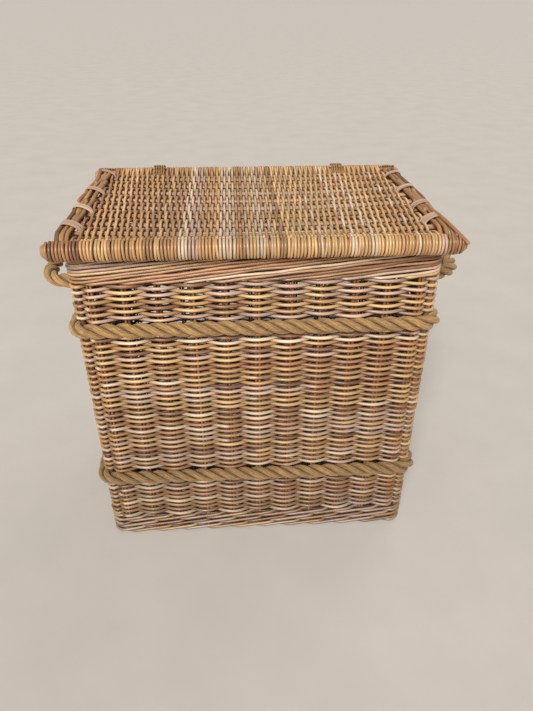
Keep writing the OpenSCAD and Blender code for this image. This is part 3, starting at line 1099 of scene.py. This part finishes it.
def rail(name, seed, side, node):
    """The rods along one side of the lid: whole ones below, and above them shorter ones that lap."""
    rng, strands = begin(seed)
    low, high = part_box("lid_rail_right")
    front = low.y + RAIL_END
    back = high.y - RAIL_END
    bottom = low.z + RAIL_ROD_R
    top = high.z - RAIL_ROD_R
    for i in range(RAIL_RODS):
        x = low.x + (i + 0.5) * (high.x - low.x) / RAIL_RODS
        join = RAIL_JOINS[i] * side
        rail_rod(strands, rng, side, x, x, front, back, bottom, 0)
        rail_rod(strands, rng, side, x + 2 * MM, x - 4 * MM, front, join + RAIL_LAP, top, RAIL_DROP)
        rail_rod(strands, rng, side, x + 3 * MM, x - 2 * MM, join - RAIL_LAP, back, top, RAIL_DROP)
    stray_tip(strands, side, low, high)
    strands.build(name, ROD_LOOK, "lid", "lid_rod", node)


def rail_rod(strands, rng, side, x_front, x_back, front, back, level, drop):
    """One rod from front to back; where it ends over a roll it drops down to it."""
    t = np.linspace(0, 1, 40)
    y = front + (back - front) * t
    bend = smooth(rng.normal(0, RAIL_BEND, (len(y), 3)), 10, closed=False)
    low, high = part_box("lid_rail_right")
    near_end = np.minimum(y - low.y, high.y - y) - RAIL_END
    z = level - drop * (1 - ease(near_end / RAIL_DROP_OVER))
    x = side * (x_front + (x_back - x_front) * t)
    path = np.stack([x, y, z], axis=1) + bend * [1, 0, 0.45]
    radii = RAIL_ROD_R * rng.uniform(0.78, 0.98) * (1 - 0.14 * t * rng.choice((-1, 1)))
    strands.add(path, radii[None], pick(rng, RAIL_MIX, 1) * RAIL_SHADE, UP, sides=10)


STRAY_LENGTH = 130 * MM
STRAY_PAST = 20 * MM
STRAY_R = 3.3 * MM


def stray_tip(strands, side, low, high):
    """A rod whose tip was left long: over the front roll on the right, the back one on the left."""
    end = -1 if side > 0 else 1
    reach = (high.y if end > 0 else -low.y) + STRAY_PAST
    t = np.linspace(0, 1, 24)
    y = end * (reach - STRAY_LENGTH * (1 - t))
    x = side * (high.x - 9 * MM + 18 * MM * t ** 2.5)
    z = high.z - 1.5 * MM + 4 * MM * np.sin(np.pi * t) - 9 * MM * t ** 3
    path = np.stack([x, y, z], axis=1)
    radii = STRAY_R * (1 - 0.25 * t)
    strands.add(path, radii[None], linear(ORANGE)[None] * RAIL_SHADE, UP, sides=10)


LASH_TURNS = (5, 4, 4, 3)
LASH_WIDTH = 3.8 * MM
LASH_LEFT = (-142, -59, 41, 160)
LASH_RIGHT = (-132, -62, 31, 126)


def lashings(name, seed, side, spots, node):
    """Flat cane round a rail, each turn going in and forward over the edge of the weave."""
    rng, strands = begin(seed)
    rail_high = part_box("lid_rail_right")[1]
    outer = rail_high.x + 1.4 * MM
    over = rail_high.z + 1.0 * MM
    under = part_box("rail_lashings_right")[0].z + 1.0 * MM
    weave_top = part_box("lid_panel")[1].z
    for spot, turns in zip(spots, LASH_TURNS):
        for turn in range(turns):
            inset = rng.uniform(-2, 2) * MM
            y = spot * MM + turn * (LASH_WIDTH + 0.3 * MM)
            route = [
                (outer, y, under + 4 * MM), (outer, y, over - 3 * MM),
                (outer - 6 * MM, y - 1 * MM, over + 0.6 * MM),
                (outer - 18 * MM, y - 6 * MM, over + 0.2 * MM),
                (outer - 28 * MM, y - 13 * MM, weave_top + 2.4 * MM),
                (outer - 35 * MM + inset, y - 18 * MM, weave_top - 1 * MM),
                (outer - 36 * MM + inset, y - 19 * MM, weave_top - 13 * MM),
                (outer - 26 * MM, y - 11 * MM, under + 1 * MM), (outer - 8 * MM, y - 2 * MM, under),
            ]
            path = smooth(resample(np.array(route), 2.5 * MM, closed=True), 4) * [side, 1, 1]
            tint = pick(rng, {BLUSH: 3, CREAM: 1}, 1)
            strands.add(path, LASH_WIDTH / 2, tint, ALONG_Y, True, 8, shape=(0.5, 1.0), soil=flanks)
    strands.build(name, LASHING_LOOK, "lid", "lashing_cane", node)


# Build everything

def hamper():
    """The fixed part: foot, base, stakes, weave, hoops and top border."""
    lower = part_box("weave_lower")
    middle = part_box("weave_middle")
    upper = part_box("weave_upper")
    third = (middle[1].z - middle[0].z + 2 * TUCK) / 3
    foot_border("foot_wale", 11)
    base(12)
    weave_band("weave_lower_rows", 21, lower[0].z, lower[1].z + TUCK, FOOT_MIX, 0, "weave_lower")
    for i in range(3):
        z = middle[0].z - TUCK + i * third
        first = i * rows_between(z, z + third)
        weave_band("weave_middle_rows_%d" % i, 22 + 2 * i, z, z + third, WALL_MIX, first, "weave_middle")
    weave_band("weave_upper_rows", 31, upper[0].z - TUCK, upper[1].z, WALL_MIX, 0, "weave_upper")
    for side, name in enumerate(("front", "right", "back", "left")):
        stakes("stake_pairs_" + name, 41 + side, side, "stakes_" + name)
    for number, name in enumerate(("front_left", "front_right", "back_left", "back_right")):
        corner_post("corner_post_" + name, 51 + number)
    top_border("top_border_plait", 61)
    rope_hoop("rope_lower", 62, "rope_hoop_lower")
    rope_hoop("rope_upper", 63, "rope_hoop_upper")
    handle("rope_handle_left", 64, -1, "left_handle", "handle_left", "handle_run_left")
    handle("rope_handle_right", 65, 1, "right_handle", "handle_right", "handle_run_right")
    hinge_cord("hinge_turns_left", 66, "hinge_cord_left")
    hinge_cord("hinge_turns_right", 67, "hinge_cord_right")


def whole_lid():
    """The lid: rolls, woven top, cross sticks, rails and lashings."""
    lid(71)
    roll_core("lid_front_rod", 81)
    roll_core("lid_back_rod", 82)
    cross_sticks(83)
    rail("rail_rods_left", 84, -1, "lid_rail_left")
    rail("rail_rods_right", 85, 1, "lid_rail_right")
    lashings("lashings_left", 86, -1, LASH_LEFT, "rail_lashings_left")
    lashings("lashings_right", 87, 1, LASH_RIGHT, "rail_lashings_right")


FLOOR_SIZE = 2000
FLOOR_PALE = (0.82, 0.79, 0.755)
FLOOR_GRAIN = (6, 6, 6)


def floor():
    """A plain pale floor that reaches to the horizon."""
    bpy.ops.mesh.primitive_plane_add(size=FLOOR_SIZE)
    ground = bpy.context.object
    ground.name = "floor"
    look = Look("floor_pale")
    grain = look.noise(look.node("TexCoord", {})["Object"], FLOOR_GRAIN)
    shade = look.ramp(grain, 0.3, 0.7, 0.97, 1.03)
    colour = look.tone(tuple(linear(FLOOR_PALE)), shade)
    ground.data.materials.append(look.finish(colour, 0.9, Specular_IOR_Level=0.2))


CAMERA_AT = (-0.035, -0.972, 0.887)
CAMERA_YAW = 3.43
CAMERA_PITCH = 31.92
CAMERA_ROLL = -0.19
FOCAL_PIXELS = 575
LONG_SIDE_PIXELS = 711
SENSOR = 36.0


def camera():
    """The camera, at the photograph's place and angle."""
    data = bpy.data.cameras.new("camera")
    data.sensor_width = SENSOR
    data.lens = FOCAL_PIXELS / LONG_SIDE_PIXELS * SENSOR
    data.clip_start = 0.01
    eye = add_object("camera", data)
    eye.location = CAMERA_AT
    pitch = math.radians(90 - CAMERA_PITCH)
    eye.rotation_euler = (pitch, math.radians(CAMERA_ROLL), math.radians(-CAMERA_YAW))
    bpy.context.scene.camera = eye


KEY_FROM = (-0.28, -1.05, 0.88)
KEY_POWER = 3.4
KEY_WIDTH = 22
BACK_FROM = (0.8, 1.0, 1.0)
BACK_POWER = 0.35
BACK_WIDTH = 40
LAMP_COLOUR = (1.0, 0.985, 0.965)
SKY_COLOUR = (1.0, 0.98, 0.96, 1)
SKY_POWER = 0.22


def sun(name, place, power, width):
    """A soft distant light that shines from a place towards the object."""
    data = bpy.data.lights.new(name, "SUN")
    data.energy = power
    data.angle = math.radians(width)
    data.color = LAMP_COLOUR
    lamp = add_object(name, data)
    lamp.rotation_euler = (-Vector(place)).to_track_quat("-Z", "Y").to_euler()


def lights():
    """Soft daylight from the front, a little from the left, and a weak light from behind."""
    world = bpy.data.worlds.new("studio")
    world.use_nodes = True
    sky = world.node_tree.nodes["Background"]
    sky.inputs["Color"].default_value = SKY_COLOUR
    sky.inputs["Strength"].default_value = SKY_POWER
    bpy.context.scene.world = world
    bpy.context.scene.view_settings.view_transform = "Standard"
    sun("key", KEY_FROM, KEY_POWER, KEY_WIDTH)
    sun("back", BACK_FROM, BACK_POWER, BACK_WIDTH)


hamper()
whole_lid()
floor()
camera()
lights()
